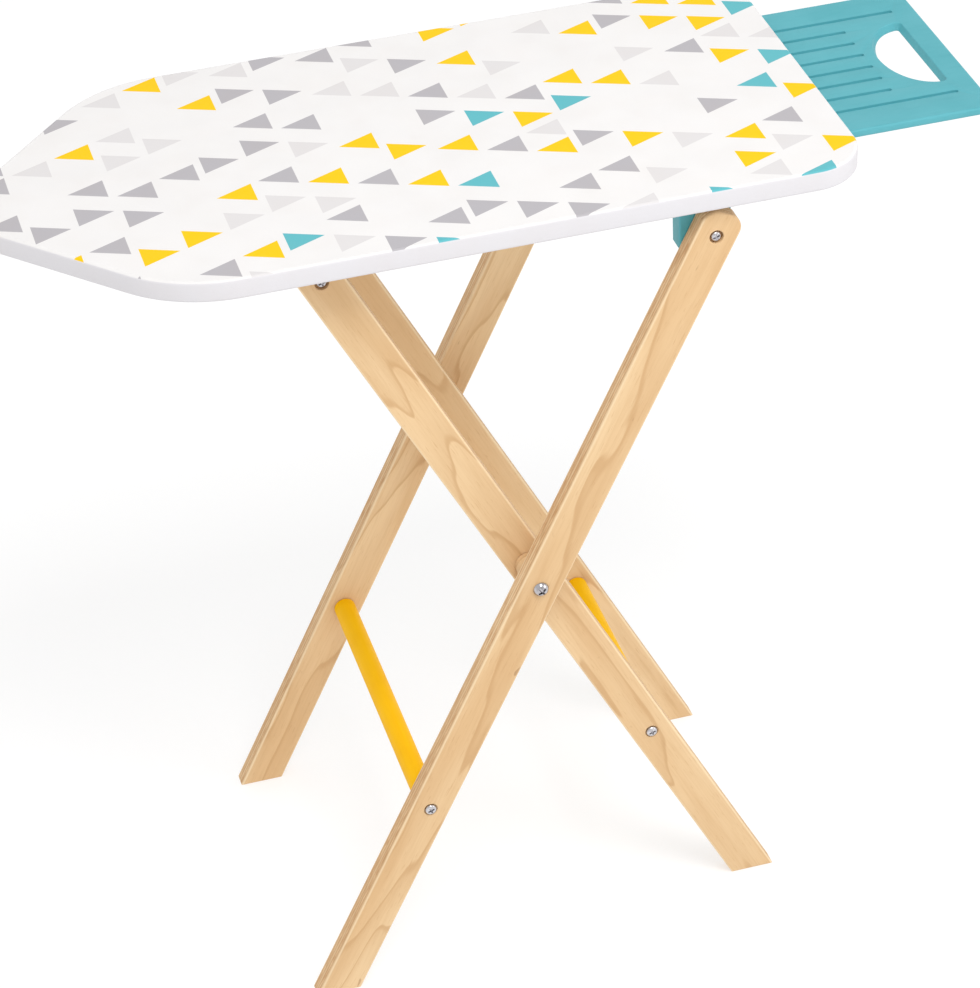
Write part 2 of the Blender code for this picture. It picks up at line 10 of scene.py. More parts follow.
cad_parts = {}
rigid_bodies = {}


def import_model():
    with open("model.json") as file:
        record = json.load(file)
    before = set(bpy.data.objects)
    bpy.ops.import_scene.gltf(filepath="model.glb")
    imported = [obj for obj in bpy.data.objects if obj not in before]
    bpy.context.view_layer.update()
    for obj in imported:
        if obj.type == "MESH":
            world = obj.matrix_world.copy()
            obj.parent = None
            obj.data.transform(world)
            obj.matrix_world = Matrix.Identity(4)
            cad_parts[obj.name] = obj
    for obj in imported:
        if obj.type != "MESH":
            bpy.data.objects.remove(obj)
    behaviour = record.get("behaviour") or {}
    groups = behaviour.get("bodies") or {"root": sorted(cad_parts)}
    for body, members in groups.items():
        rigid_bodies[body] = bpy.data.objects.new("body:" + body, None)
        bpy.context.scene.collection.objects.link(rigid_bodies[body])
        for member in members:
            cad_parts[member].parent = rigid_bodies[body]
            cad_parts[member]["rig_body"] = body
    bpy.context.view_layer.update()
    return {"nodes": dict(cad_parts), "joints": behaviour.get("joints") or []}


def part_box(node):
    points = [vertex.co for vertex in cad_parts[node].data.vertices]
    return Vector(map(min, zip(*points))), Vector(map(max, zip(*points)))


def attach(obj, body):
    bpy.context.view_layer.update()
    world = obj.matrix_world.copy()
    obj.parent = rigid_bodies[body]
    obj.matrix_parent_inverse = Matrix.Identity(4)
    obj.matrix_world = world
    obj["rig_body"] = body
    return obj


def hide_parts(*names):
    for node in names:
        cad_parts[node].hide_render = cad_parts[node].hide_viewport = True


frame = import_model()
jointAt = {joint["name"]: Vector(joint["pos_m"]) for joint in frame["joints"]}
hinge = jointAt["frame_fold"]
pivot = jointAt["scissor_pivot"]
sides = {"near": -1, "far": 1}
print("frame loaded:", len(frame["nodes"]), "nodes")


# Surfaces: whole arrays of points, skinned and put into a mesh.
surface = {
    "arcStep": radians(3),  # turn of one step round a corner
    "edgeSteps": 5,  # steps round an eased edge
    "turnSteps": 56,  # steps round a turned piece
    "drillSteps": 28,
    "holeSteps": 40,
    "screwSteps": 48,
    "support": 0.0004,  # flat band beside an eased edge, which keeps the faces flat in shading
    "mergeDistance": 1e-7,
    "creaseAngle": radians(32),
    "cutMargin": 0.002,
}


def unit(rows):
    return rows / np.linalg.norm(rows, axis=-1, keepdims=True)


# A corner (x, y, radius) turns into an arc round the point that lies radius away from both sides.
def roundCorners(corners, step=surface["arcStep"]):
    spots = np.array([corner[:2] for corner in corners], float)
    back = unit(np.roll(spots, 1, 0) - spots)
    ahead = unit(np.roll(spots, -1, 0) - spots)
    runs = []
    for spot, b, a, (_, _, radius) in zip(spots, back, ahead, corners):
        if radius == 0:
            runs.append(spot[None])
            continue
        half = np.arccos(np.clip(b @ a, -1, 1)) / 2
        middle = spot + unit(b + a) * radius / sin(half)
        start = spot + b * radius / tan(half) - middle
        turn = (pi - 2 * half) * (-1 if b[0] * a[1] - b[1] * a[0] > 0 else 1)
        angle = np.linspace(0, turn, 2 * max(1, round(abs(turn) / step / 2)) + 1)
        turnedX = start[0] * np.cos(angle) - start[1] * np.sin(angle)
        turnedY = start[0] * np.sin(angle) + start[1] * np.cos(angle)
        runs.append(middle + np.stack([turnedX, turnedY], 1))
    return np.concatenate(runs)


# A grid of points becomes quads; its columns always close into a ring, its rows only when asked.
def skin(grid, closeRows=False, caps=False):
    rows, columns = grid.shape[:2]
    index = np.arange(rows * columns).reshape(rows, columns)
    lower = index if closeRows else index[:-1]
    upper = np.roll(index, -1, 0) if closeRows else index[1:]
    quads = np.stack([lower, np.roll(lower, -1, 1), np.roll(upper, -1, 1), upper], -1)
    faces = quads.reshape(-1, 4).tolist()
    if caps:
        faces += [index[0].tolist(), index[-1].tolist()]
    return grid.reshape(-1, 3), faces


# The outline is drawn once for every inset and height: each point moves along the mitre of its two sides.
def stackRings(outline, insets, heights):
    before = unit(outline - np.roll(outline, 1, 0))
    after = unit(np.roll(outline, -1, 0) - outline)
    both = before + after
    mitre = np.stack([-both[:, 1], both[:, 0]], 1) / (1 + (before * after).sum(1))[:, None]
    rings = outline[None] + np.asarray(insets, float)[:, None, None] * mitre[None]
    tall = np.broadcast_to(np.asarray(heights, float)[:, None, None], rings.shape[:2] + (1,))
    return skin(np.concatenate([rings, tall], 2), caps=True)


# Quarter circles ease both rims of a plate that lies between -half and +half.
def easedPlate(outline, half, ease, steps=surface["edgeSteps"]):
    angle = np.linspace(0, pi / 2, steps + 1)
    inset = np.concatenate([[ease + surface["support"]], ease * (1 - np.sin(angle))])
    height = np.concatenate([[half], half - ease * (1 - np.cos(angle))])
    insets = np.concatenate([inset, inset[::-1]])
    return stackRings(outline, insets, np.concatenate([height, -height[::-1]]))


# A profile of (radius, height) swept once round local Z.
def spin(profile, closed=False, steps=surface["turnSteps"]):
    line = np.array(profile, float)
    angle = np.linspace(0, 2 * pi, steps, endpoint=False)
    x = line[:, :1] * np.cos(angle)
    y = line[:, :1] * np.sin(angle)
    z = np.broadcast_to(line[:, 1:], x.shape)
    return skin(np.stack([x, y, z], -1), closeRows=closed)


def moved(shape, matrix):
    points, faces = shape
    place = np.array(matrix)
    return points @ place[:3, :3].T + place[:3, 3], faces


def solid(name, shape, matrix=Matrix.Identity(4)):
    points, faces = moved(shape, matrix)
    mesh = bpy.data.meshes.new(name)
    mesh.from_pydata(points.tolist(), [], faces)
    work = bmesh.new()
    work.from_mesh(mesh)
    bmesh.ops.remove_doubles(work, verts=work.verts, dist=surface["mergeDistance"])
    bmesh.ops.recalc_face_normals(work, faces=work.faces)
    work.to_mesh(mesh)
    work.free()
    item = bpy.data.objects.new(name, mesh)
    bpy.context.scene.collection.objects.link(item)
    return item


def cutAway(item, cutters):
    for cutter in cutters:
        change = item.modifiers.new(cutter.name, "BOOLEAN")
        change.operation = "DIFFERENCE"
        change.solver = "EXACT"
        change.object = cutter
    bpy.context.view_layer.update()
    graph = bpy.context.evaluated_depsgraph_get()
    result = bpy.data.meshes.new_from_object(item.evaluated_get(graph))
    item.modifiers.clear()
    plain = item.data
    item.data = result
    result.name = plain.name
    bpy.data.meshes.remove(plain)
    for cutter in cutters:
        spare = cutter.data
        bpy.data.objects.remove(cutter, do_unlink=True)
        bpy.data.meshes.remove(spare)


def pieceName(node):
    first, *rest = node.split("_")
    return first + "".join(word.capitalize() for word in rest)


# Gives a piece its finish, and puts it in the place of its node.
def dress(item, node, finish):
    item.data.materials.clear()
    item.data.materials.append(finish)
    item.data.shade_smooth()
    item.data.set_sharp_from_angle(angle=surface["creaseAngle"])
    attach(item, frame["nodes"][node]["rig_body"])
    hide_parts(node)


def middleOf(node):
    low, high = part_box(node)
    return (low + high) / 2


def facing(x, y, z, side):  # local Z points outwards across the board
    return Matrix.Translation((x, y, z)) @ Matrix.Rotation(-side * pi / 2, 4, "X")


def hanging(x, y, z):  # local Z points straight down
    return Matrix.Translation((x, y, z)) @ Matrix.Rotation(pi, 4, "X")


def standing(x, y, z):  # local XY becomes the upright XZ plane
    return Matrix.Translation((x, y, z)) @ Matrix.Rotation(pi / 2, 4, "X")


# Shader sums: a wire stands for one socket, and arithmetic on wires adds Math nodes.
class Wire:
    def __init__(self, tree, socket=None):
        self.tree = tree
        self.socket = socket

    def node(self, kind, settings=None, sockets=None, out=0):
        made = self.tree.nodes.new(kind)
        for key, value in (settings or {}).items():
            if key == "stops":
                self.setStops(made.color_ramp.elements, value)
            elif key == "interpolation" and hasattr(made, "color_ramp"):
                made.color_ramp.interpolation = value
            else:
                setattr(made, key, value)
        for key, value in (sockets or {}).items():
            if isinstance(value, Wire):
                self.tree.links.new(value.socket, made.inputs[key])
            else:
                made.inputs[key].default_value = value
        return Wire(self.tree, made.outputs[out])

    def setStops(self, elements, stops):
        elements.remove(elements[1])
        elements[0].position, elements[0].color = stops[0]
        for place, colour in stops[1:]:
            elements.new(place).color = colour

    def output(self, out):
        return Wire(self.tree, self.socket.node.outputs[out])

    def math(self, operation, *values):
        sockets = dict(enumerate((self,) + values))
        return self.node("ShaderNodeMath", {"operation": operation}, sockets)

    def __add__(self, other):
        return self.math("ADD", other)

    def __radd__(self, other):
        return self + other

    def __sub__(self, other):
        return self.math("SUBTRACT", other)

    def __rsub__(self, other):
        return self.node("ShaderNodeMath", {"operation": "SUBTRACT"}, {0: other, 1: self})

    def __mul__(self, other):
        return self.math("MULTIPLY", other)

    def __rmul__(self, other):
        return self * other

    def __truediv__(self, other):
        return self.math("DIVIDE", other)

    def __abs__(self):
        return self.math("ABSOLUTE")


# Screen levels of 0 to 255 become the light values that a shader takes, by the sRGB curve.
def colour(red, green, blue):
    level = np.array([red, green, blue]) / 255
    light = np.where(level <= 0.04045, level / 12.92, ((level + 0.055) / 1.055) ** 2.4)
    return (*light.tolist(), 1.0)


def blend(factor, below, above):  # sockets 0, 6 and 7 of a Mix node are its factor and its two colours
    sockets = {0: factor, 6: below, 7: above}
    return factor.node("ShaderNodeMix", {"data_type": "RGBA"}, sockets, out=2)


def ease(value, start, end):  # 0 before start, 1 after end, smooth between
    settings = {"interpolation_type": "SMOOTHSTEP"}
    sockets = {"Value": value, "From Min": start, "From Max": end}
    return value.node("ShaderNodeMapRange", settings, sockets)


def swing(value, reach):  # a noise, whose middle is a half, as a move up or down
    return (value - 0.5) * reach


def joined(x, y, z):
    return x.node("ShaderNodeCombineXYZ", None, {0: x, 1: y, 2: z})


def stretched(axes, scales):  # the place with its own scale on each axis
    return joined(*(axis * scale for axis, scale in zip(axes, scales)))


def noise(place, scale=1.0, detail=2.0, rough=0.5):
    sockets = {"Vector": place, "Scale": scale, "Detail": detail, "Roughness": rough}
    return place.node("ShaderNodeTexNoise", None, sockets)


def hashOf(first, second, seed):  # one random number for each pair of whole numbers
    place = first.node("ShaderNodeCombineXYZ", None, {0: first, 1: second, 2: seed})
    return first.node("ShaderNodeTexWhiteNoise", {"noise_dimensions": "3D"}, {"Vector": place})


def newFinish(name):
    material = bpy.data.materials.new(name)
    material.use_nodes = True
    shader = material.node_tree.nodes["Principled BSDF"]
    place = Wire(material.node_tree).node("ShaderNodeTexCoord", out="Object")
    axes = place.node("ShaderNodeSeparateXYZ", None, {0: place})
    return material, shader, place, (axes, axes.output(1), axes.output(2))


def wireUp(shader, links, values):
    for key, wire in links.items():
        wire.tree.links.new(wire.socket, shader.inputs[key])
    for key, value in values.items():
        shader.inputs[key].default_value = value


def bump(height, distance, strength):
    sockets = {"Height": height, "Distance": distance, "Strength": strength}
    return height.node("ShaderNodeBump", None, sockets)


plywood = {
    "pale": colour(228, 197, 154),
    "warm": colour(216, 179, 133),
    "late": colour(190, 147, 99),
    "crossPly": colour(196, 148, 101),
    "crossPale": colour(232, 197, 153),
    "glue": colour(148, 106, 70),
    # the pale colour below is a painted highlight for the arrises
    "rubbed": colour(246, 222, 184),
    "rubWidth": 0.0015,  # how far in from an arris the painted highlight reaches
    "plies": 5,
    "ringCount": 8.0,
    "ringRise": (0.2, 0.93),  # a ring darkens slowly up to its late wood
    "ringDrop": (0.95, 1.0),  # and ends at a crisp edge
    "ringLine": (0.82, 0.93),  # with a thin dark line before it
    "wander": 0.5,  # how far a ply's edge wavers, as a share of a ply
    "roughness": 0.6,
    "specular": 0.25,
    "seeds": {"outer": 2.0, "inner": 7.0, "spacer": 4.0},
    # each noise: steps per metre along the grain, across it and through the thickness, detail, roughness
    "figure": ((3.4, 22, 30), 3.0, 0.4),
    "tone": ((5, 34, 20), 2.0, 0.5),
    "fibre": ((38, 900, 900), 2.0, 0.6),
    "pore": ((95, 1300, 1300), 1.0, 0.5),
    "knot": ((60, 160, 60), 1.0, 0.5),
    "speckle": ((130, 700, 900), 2.0, 0.5),
    "waver": ((34, 30, 0), 3.0, 0.5),
    "streak": ((16, 0, 420), 2.0, 0.5),
    # the levels of a noise between which its marks come up
    "toneStep": (0.32, 0.7),
    "fibreStep": (0.35, 0.8),
    "poreStep": (0.66, 0.74),
    "knotStep": (0.76, 0.80),
    "speckleStep": (0.3, 0.75),
    "streakStep": (0.3, 0.65),
    "glueStep": (0.03, 0.12),  # edges of a glue line, as shares of a ply
    # how far each mark covers what is below it
    "lateShare": 0.22,
    "lineShare": 0.34,
    "poreShare": 0.34,
    "knotShare": 0.5,
    "fibreShare": 0.2,
    "crossShare": 0.45,  # of a cross ply, and what its streaks add
    "streakShare": 0.5,
    "glueShare": 0.6,
    "rubShare": 0.9,
    # what fibres and cross plies change in the gloss, and how high each mark stands
    "fibreRough": 0.12,
    "crossRough": 0.1,
    "fibreRise": 0.5,
    "lateRise": 0.4,
    "poreDrop": 0.6,
    "crossDrop": 0.5,
    "grainDepth": 0.00012,
    "grainStrength": 0.4,
}
leg = {
    "width": 0.025,
    "topOverhang": 0.015,
    "topCorner": 0.009,
    "edgeEase": 0.0012,
    "boltHole": 0.0031,
    "insertHole": 0.0048,
    "insertCover": 0.0022,
}


# Plywood: contour lines of a slow noise, stretched along the leg, give the figure; the depth gives the plies.
def plywoodFinish(name, angle, innerY, thickness, seed, plies=plywood["plies"]):
    material, shader, _, (x, y, z) = newFinish(name)
    along = (x - pivot.x) * cos(angle) + (z - pivot.z) * sin(angle)
    across = (z - pivot.z) * cos(angle) - (x - pivot.x) * sin(angle)

    def grained(kind):
        (perAlong, perAcross, perDepth), detail, rough = plywood[kind]
        place = joined(along * perAlong, across * perAcross, y * perDepth + seed)
        return noise(place, detail=detail, rough=rough)

    def marks(kind):
        return ease(grained(kind), *plywood[kind + "Step"])

    rings = (grained("figure") * plywood["ringCount"]).math("FRACT")
    early = 1 - ease(rings, *plywood["ringDrop"])
    late = ease(rings, *plywood["ringRise"]) * early
    edge = ease(rings, *plywood["ringLine"]) * early
    fibre = grained("fibre")
    pores = marks("pore")
    face = blend(marks("tone"), plywood["pale"], plywood["warm"])
    face = blend(late * plywood["lateShare"] + edge * plywood["lineShare"], face, plywood["late"])
    face = blend(pores * plywood["poreShare"], face, plywood["late"])
    face = blend(marks("knot") * plywood["knotShare"], face, plywood["glue"])
    face = blend(ease(fibre, *plywood["fibreStep"]) * plywood["fibreShare"], face, plywood["late"])

    # plies are counted outwards from the leg's inner face, and every second one shows its end grain
    layer = (abs(y) - innerY) * (plies / thickness) + swing(grained("waver"), plywood["wander"])
    held = layer.math("MAXIMUM", 0.5).math("MINIMUM", plies - 0.5)
    odd = held.math("FLOOR").math("MODULO", 2.0)
    ends = blend(marks("speckle"), plywood["crossPly"], plywood["crossPale"])
    cover = plywood["crossShare"] + marks("streak") * plywood["streakShare"]
    body = blend(odd * cover, face, ends)
    line = 1 - ease(abs(held - held.math("ROUND")), *plywood["glueStep"])
    body = blend(line * plywood["glueShare"], body, plywood["glue"])

    # along an arris both distances are near their ends
    fromMiddle = abs(abs(y) - innerY - thickness / 2)
    nearFace = ease(fromMiddle, thickness / 2 - plywood["rubWidth"], thickness / 2)
    nearSide = ease(abs(across), leg["width"] / 2 - plywood["rubWidth"], leg["width"] / 2)
    # painted highlight: a pale band along every arris, where the eased edge catches the light
    body = blend(nearFace * nearSide * plywood["rubShare"], body, plywood["rubbed"])
    rough = plywood["roughness"] + swing(fibre, plywood["fibreRough"]) + odd * plywood["crossRough"]
    height = fibre * plywood["fibreRise"] + late * plywood["lateRise"]
    height = height - pores * plywood["poreDrop"] - odd * plywood["crossDrop"]
    grain = bump(height, plywood["grainDepth"], plywood["grainStrength"])
    links = {"Base Color": body, "Roughness": rough, "Normal": grain}
    wireUp(shader, links, {"Specular IOR Level": plywood["specular"]})
    return material


triangles = {
    "columnPitch": 0.0263,
    "rowPitch": 0.0219,
    "height": 0.0218,
    "base": 0.0196,
    "columnShift": 0.5,  # how far each column sits off the last, as a share of a row
    "turnedDrop": 0.0045,  # how far the turned ones sit off their row
    "stride": 0.618,  # turn of the counter from row to row, which spreads the gaps
    "jitter": 0.34,
    "pointed": (0.0, 0.32),  # range of the counter that prints a triangle pointing to the nose
    "turned": (0.32, 0.53),  # range that prints one pointing to the rest; what is left stays white
    "startRow": 17.0,  # a row beyond the board, whose number starts a column's counter
    "startSeed": 3.0,
    "jitterSeed": 8.0,
    "inkSeed": 11.0,
    "edge": 0.006,  # softness of a printed edge, as a share of a triangle
    # where the share of each ink begins
    "inks": ((0.0, "yellow"), (0.24, "teal"), (0.35, "grey"), (0.68, "paleGrey")),
    "yellow": colour(244, 195, 0),
    "teal": colour(93, 178, 187),
    "grey": colour(176, 173, 177),
    "paleGrey": colour(214, 211, 211),
}
whitePaint = {
    "top": colour(229, 227, 226),
    "shade": colour(226, 224, 223),
    # painted shade: the board's sides are a little darker than its top
    "edge": colour(216, 214, 217),
    "roughness": 0.5,
    "specular": 0.15,
    "printRim": (0.0010, 0.0006),  # depths below the top between which the print begins
    "shadeScale": 30.0,
    "shadeStep": (0.3, 0.8),
    "mottleScale": 45.0,
    "mottleDetail": 3.0,
    "mottleStep": (0.35, 0.8),
    "mottleShare": 0.03,
    "mottleRough": 0.1,
    "edgeRough": 0.08,
    "peelScale": 900.0,
    "fibreScale": (500, 500, 1600),
    "peelDepth": 0.00006,
    "peelStrength": 0.5,
}


# Columns of triangles, each half a row off the last; a counter with a random start picks which are printed.
def printedPaint(name, topZ):
    material, shader, place, axes = newFinish(name)
    x, y, z = axes
    column = (x / triangles["columnPitch"]).math("FLOOR")
    reach = (x / triangles["columnPitch"] - column) * (triangles["columnPitch"] / triangles["height"])
    start = hashOf(column, triangles["startRow"], triangles["startSeed"])
    inks = [(begin, triangles[ink]) for begin, ink in triangles["inks"]]
    soft = triangles["edge"]
    shade = ease(noise(place, whitePaint["shadeScale"]), *whitePaint["shadeStep"])
    top = blend(shade, whitePaint["top"], whitePaint["shade"])
    for kind in ("pointed", "turned"):
        drop = triangles["turnedDrop"] if kind == "turned" else 0.0
        step = (y + drop) / triangles["rowPitch"] + column * triangles["columnShift"]
        row = step.math("FLOOR")
        aside = abs(step - row - 0.5) * (2 * triangles["rowPitch"] / triangles["base"])
        width = 1 - reach if kind == "turned" else reach
        inside = ease(width - aside, 0.0, soft)
        inside = inside * ease(reach, 0.0, soft) * (1 - ease(reach, 1.0 - soft, 1.0))
        jitter = hashOf(column, row, triangles["jitterSeed"]) * triangles["jitter"]
        counter = (row * triangles["stride"] + start + jitter).math("FRACT")
        low, high = triangles[kind]
        printed = counter.math("LESS_THAN", high) - counter.math("LESS_THAN", low)
        pick = hashOf(column, row, triangles["inkSeed"])
        settings = {"interpolation": "CONSTANT", "stops": inks}
        ink = pick.node("ShaderNodeValToRGB", settings, {0: pick})
        top = blend(inside * printed, top, ink)
    rimLow, rimHigh = whitePaint["printRim"]
    onTop = ease(z, topZ - rimLow, topZ - rimHigh)
    onEdge = 1 - onTop
    mottle = noise(place, whitePaint["mottleScale"], whitePaint["mottleDetail"])
    # the sides below the print take the darker colour, which is painted shade
    body = blend(onTop, whitePaint["edge"], top)
    stain = ease(mottle, *whitePaint["mottleStep"]) * whitePaint["mottleShare"]
    body = blend(stain, body, plywood["late"])
    peel = noise(place, whitePaint["peelScale"])
    fibres = noise(stretched(axes, whitePaint["fibreScale"]))
    rough = whitePaint["roughness"] + swing(mottle, whitePaint["mottleRough"])
    rough = rough + onEdge * whitePaint["edgeRough"]
    height = bump(peel + onEdge * fibres, whitePaint["peelDepth"], whitePaint["peelStrength"])
    links = {"Base Color": body, "Roughness": rough, "Normal": height}
    wireUp(shader, links, {"Specular IOR Level": whitePaint["specular"]})
    return material


teal = {
    "colour": colour(89, 168, 178),
    "deep": colour(68, 152, 161),
    "roughness": 0.5,
    "specular": 0.3,
    "grainScale": (60, 260, 260),
}
yellow = {
    "colour": colour(247, 189, 0),
    "deep": colour(235, 168, 0),
    "roughness": 0.5,
    "specular": 0.12,
    "grainScale": (700, 40, 700),
}
paintCoat = {
    "mottleScale": 38.0,
    "mottleDetail": 3.0,
    "mottleStep": (0.3, 0.8),
    "mottleShare": 0.3,
    "mottleRough": 0.14,
    "grainRough": 0.6,
    "grainStep": (0.45, 0.8),
    "grainShare": 0.18,
    "grainRise": 0.8,
    "peelScale": 850.0,
    "peelRise": 0.6,
    "peelDepth": 0.00008,
    "peelStrength": 0.5,
}


# Paint over wood: fine roller texture, soft mottling and a little of the grain along one axis.
def paintFinish(name, paint):
    material, shader, place, axes = newFinish(name)
    mottle = noise(place, paintCoat["mottleScale"], paintCoat["mottleDetail"])
    grain = noise(stretched(axes, paint["grainScale"]), rough=paintCoat["grainRough"])
    peel = noise(place, paintCoat["peelScale"])
    clouds = ease(mottle, *paintCoat["mottleStep"]) * paintCoat["mottleShare"]
    streaks = ease(grain, *paintCoat["grainStep"]) * paintCoat["grainShare"]
    body = blend(clouds + streaks, paint["colour"], paint["deep"])
    rough = paint["roughness"] + swing(mottle, paintCoat["mottleRough"])
    height = peel * paintCoat["peelRise"] + grain * paintCoat["grainRise"]
    normal = bump(height, paintCoat["peelDepth"], paintCoat["peelStrength"])
    links = {"Base Color": body, "Roughness": rough, "Normal": normal}
    wireUp(shader, links, {"Specular IOR Level": paint["specular"]})
    return material


zinc = {"colour": colour(210, 208, 211), "dull": colour(148, 146, 151), "roughness": 0.3}
bright = {"colour": colour(196, 193, 196), "dull": colour(146, 143, 148), "roughness": 0.1}
plating = {
    "cloudScale": 420.0,
    "cloudDetail": 3.0,
    "cloudStep": (0.35, 0.75),
    "cloudShare": 0.5,
    "cloudRough": 0.16,
    "scratchScale": (300, 300, 5200),
    "scratchStep": (0.55, 0.8),
    "scratchRough": 0.06,
    "scratchDepth": 0.00002,
    "scratchStrength": 0.5,
}


# Plated steel: cloudy plating with fine scratches.
def steelFinish(name, metal):
    material, shader, place, axes = newFinish(name)
    cloud = noise(place, plating["cloudScale"], plating["cloudDetail"])
    scratch = noise(stretched(axes, plating["scratchScale"]))
    body = blend(ease(cloud, *plating["cloudStep"]) * plating["cloudShare"], metal["colour"], metal["dull"])
    rough = metal["roughness"] + swing(cloud, plating["cloudRough"])
    rough = rough + ease(scratch, *plating["scratchStep"]) * plating["scratchRough"]
    normal = bump(scratch, plating["scratchDepth"], plating["scratchStrength"])
    wireUp(shader, {"Base Color": body, "Roughness": rough, "Normal": normal}, {"Metallic": 1.0})
    return material


legAngle = {"outer": atan2(hinge.z - pivot.z, hinge.x - pivot.x)}
legAngle["inner"] = pi - legAngle["outer"]
legInside = {}
for kind in legAngle:
    legInside[kind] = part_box(f"{kind}_leg_far")[0].y
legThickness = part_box("outer_leg_far")[1].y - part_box("outer_leg_far")[0].y
boardLow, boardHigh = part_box("board_top")

finishes = {
    "board": printedPaint("printedWhitePaint", boardHigh.z),
    "teal": paintFinish("tealPaint", teal),
    "yellow": paintFinish("yellowPaint", yellow),
    "zinc": steelFinish("zincSteel", zinc),
    "bright": steelFinish("brightSteel", bright),
}
seeds = plywood["seeds"]
for kind, angle in legAngle.items():
    finishes[kind] = plywoodFinish(f"{kind}Plywood", angle, legInside[kind], legThickness, seeds[kind])
spacerSeed = seeds["spacer"]
finishes["spacer"] = plywoodFinish("spacerWood", 0.0, legInside["inner"], legThickness, spacerSeed, plies=1)
print("finishes mixed:", len(finishes))


def drill(radius, top, bottom, matrix):
    profile = [(0, top), (radius, top), (radius, bottom), (0, bottom)]
    return solid("drill", spin(profile, steps=surface["drillSteps"]), matrix)


screw = {
    "headHeight": 0.0022,
    "headRadius": 0.0036,
    "sunkHeadRadius": 0.0031,  # of the heads that sit deep in the legs
    "crownFlat": 0.45,  # share of the head that is flat on top
    "rimShare": 0.3,  # share of the head's height that is a straight rim
    "pilotFit": 0.0003,
    "flatHeadHeight": 0.0018,
    "shankRadius": 0.0018,
    "holeRadius": 0.0021,
    "recessRadius": 0.0042,
    "rimChamfer": 0.0003,
    "blockRecess": 0.003,
    "legRecess": 0.0012,
    "deepRecess": 0.0026,
    "crossArm": 0.0021,
    "crossHalfWidth": 0.00055,
    "crossDepth": 0.0015,
    "crossTaper": 0.0002,
    "crossTurn": radians(20),
    "crownSteps": 9,
}


# A stepped hole from a face at local Z = 0: eased rim, recess for the head, then the shank's own bore.
def screwHole(recess, depth, matrix):
    rim = screw["recessRadius"] + screw["rimChamfer"]
    bore = screw["holeRadius"]
    margin = surface["cutMargin"]
    profile = [(0, margin), (rim, margin), (rim, 0), (screw["recessRadius"], -screw["rimChamfer"])]
    profile += [(screw["recessRadius"], -recess), (bore, -recess), (bore, -depth), (0, -depth)]
    return solid("screwHole", spin(profile, steps=surface["holeSteps"]), matrix)


# The twelve corners of a cross with arms of one length and one half width.
def crossOutline(arm, half):
    return np.array([
        (half, half), (half, arm), (-half, arm), (-half, half), (-arm, half), (-arm, -half),
        (-half, -half), (-half, -arm), (half, -arm), (half, -half), (arm, -half), (arm, half),
    ])


# The drive recess: a cross that narrows towards its floor.
def crossRecess(top, matrix, depth=screw["crossDepth"], scale=1.0):
    taper = screw["crossTaper"] * scale
    outline = crossOutline(screw["crossArm"] * scale, screw["crossHalfWidth"] * scale)
    heights = [top + surface["cutMargin"], top, top - depth]
    return solid("crossRecess", stackRings(outline, [0, 0, taper], heights), matrix)


# A pan head: a quarter ellipse from the crown to the rim, over a shank with a point.
def screwPiece(node, matrix, length, headHeight, radius=screw["headRadius"]):
    angle = np.linspace(0, pi / 2, screw["crownSteps"])
    across = radius * (screw["crownFlat"] + (1 - screw["crownFlat"]) * np.sin(angle))
    tall = headHeight * (screw["rimShare"] + (1 - screw["rimShare"]) * np.cos(angle))
    shank = screw["shankRadius"]
    profile = [(0, headHeight), *np.stack([across, tall], 1).tolist(), (radius, 0), (shank, 0)]
    profile += [(shank, 2 * shank - length), (0, -length)]
    item = solid(pieceName(node), spin(profile, steps=surface["screwSteps"]), matrix)
    cutAway(item, [crossRecess(headHeight, matrix @ Matrix.Rotation(screw["crossTurn"], 4, "Z"))])
    dress(item, node, finishes["zinc"])


def sideScrew(node, side, radius):
    low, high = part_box(node)
    middle = (low + high) / 2
    top = high.y if side > 0 else low.y
    seat = facing(middle.x, top - side * screw["headHeight"], middle.z, side)
    screwPiece(node, seat, high.y - low.y - screw["headHeight"], screw["headHeight"], radius)


def underScrew(node, headHeight=screw["headHeight"]):
    low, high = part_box(node)
    middle = (low + high) / 2
    seat = hanging(middle.x, middle.y, low.z + headHeight)
    screwPiece(node, seat, high.z - low.z - headHeight, headHeight)


restScrews = [f"iron_rest_screw_{i}" for i in (1, 2, 3)]
blockScrews = {}
for kind in ("hinge_block", "catch_block"):
    for tag in sides:
        blockScrews[f"{kind}_{tag}"] = [f"{kind}_screw_{tag}_{i}" for i in (1, 2)]


def pilotHole(node, fromZ):
    low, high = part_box(node)
    middle = (low + high) / 2
    place = Matrix.Translation((middle.x, middle.y, 0))
    return drill(screw["holeRadius"], high.z + screw["pilotFit"], fromZ - surface["cutMargin"], place)


board = {
    "edgeEase": 0.0018,
    "edgeSteps": 6,
    "arcStep": radians(1.5),
    "cornerRadius": 0.033,
    "noseAngle": radians(47.6),
    "noseRadius": 0.044,
    "shoulderRadius": 0.080,
    "pocketFit": 0.0003,
}


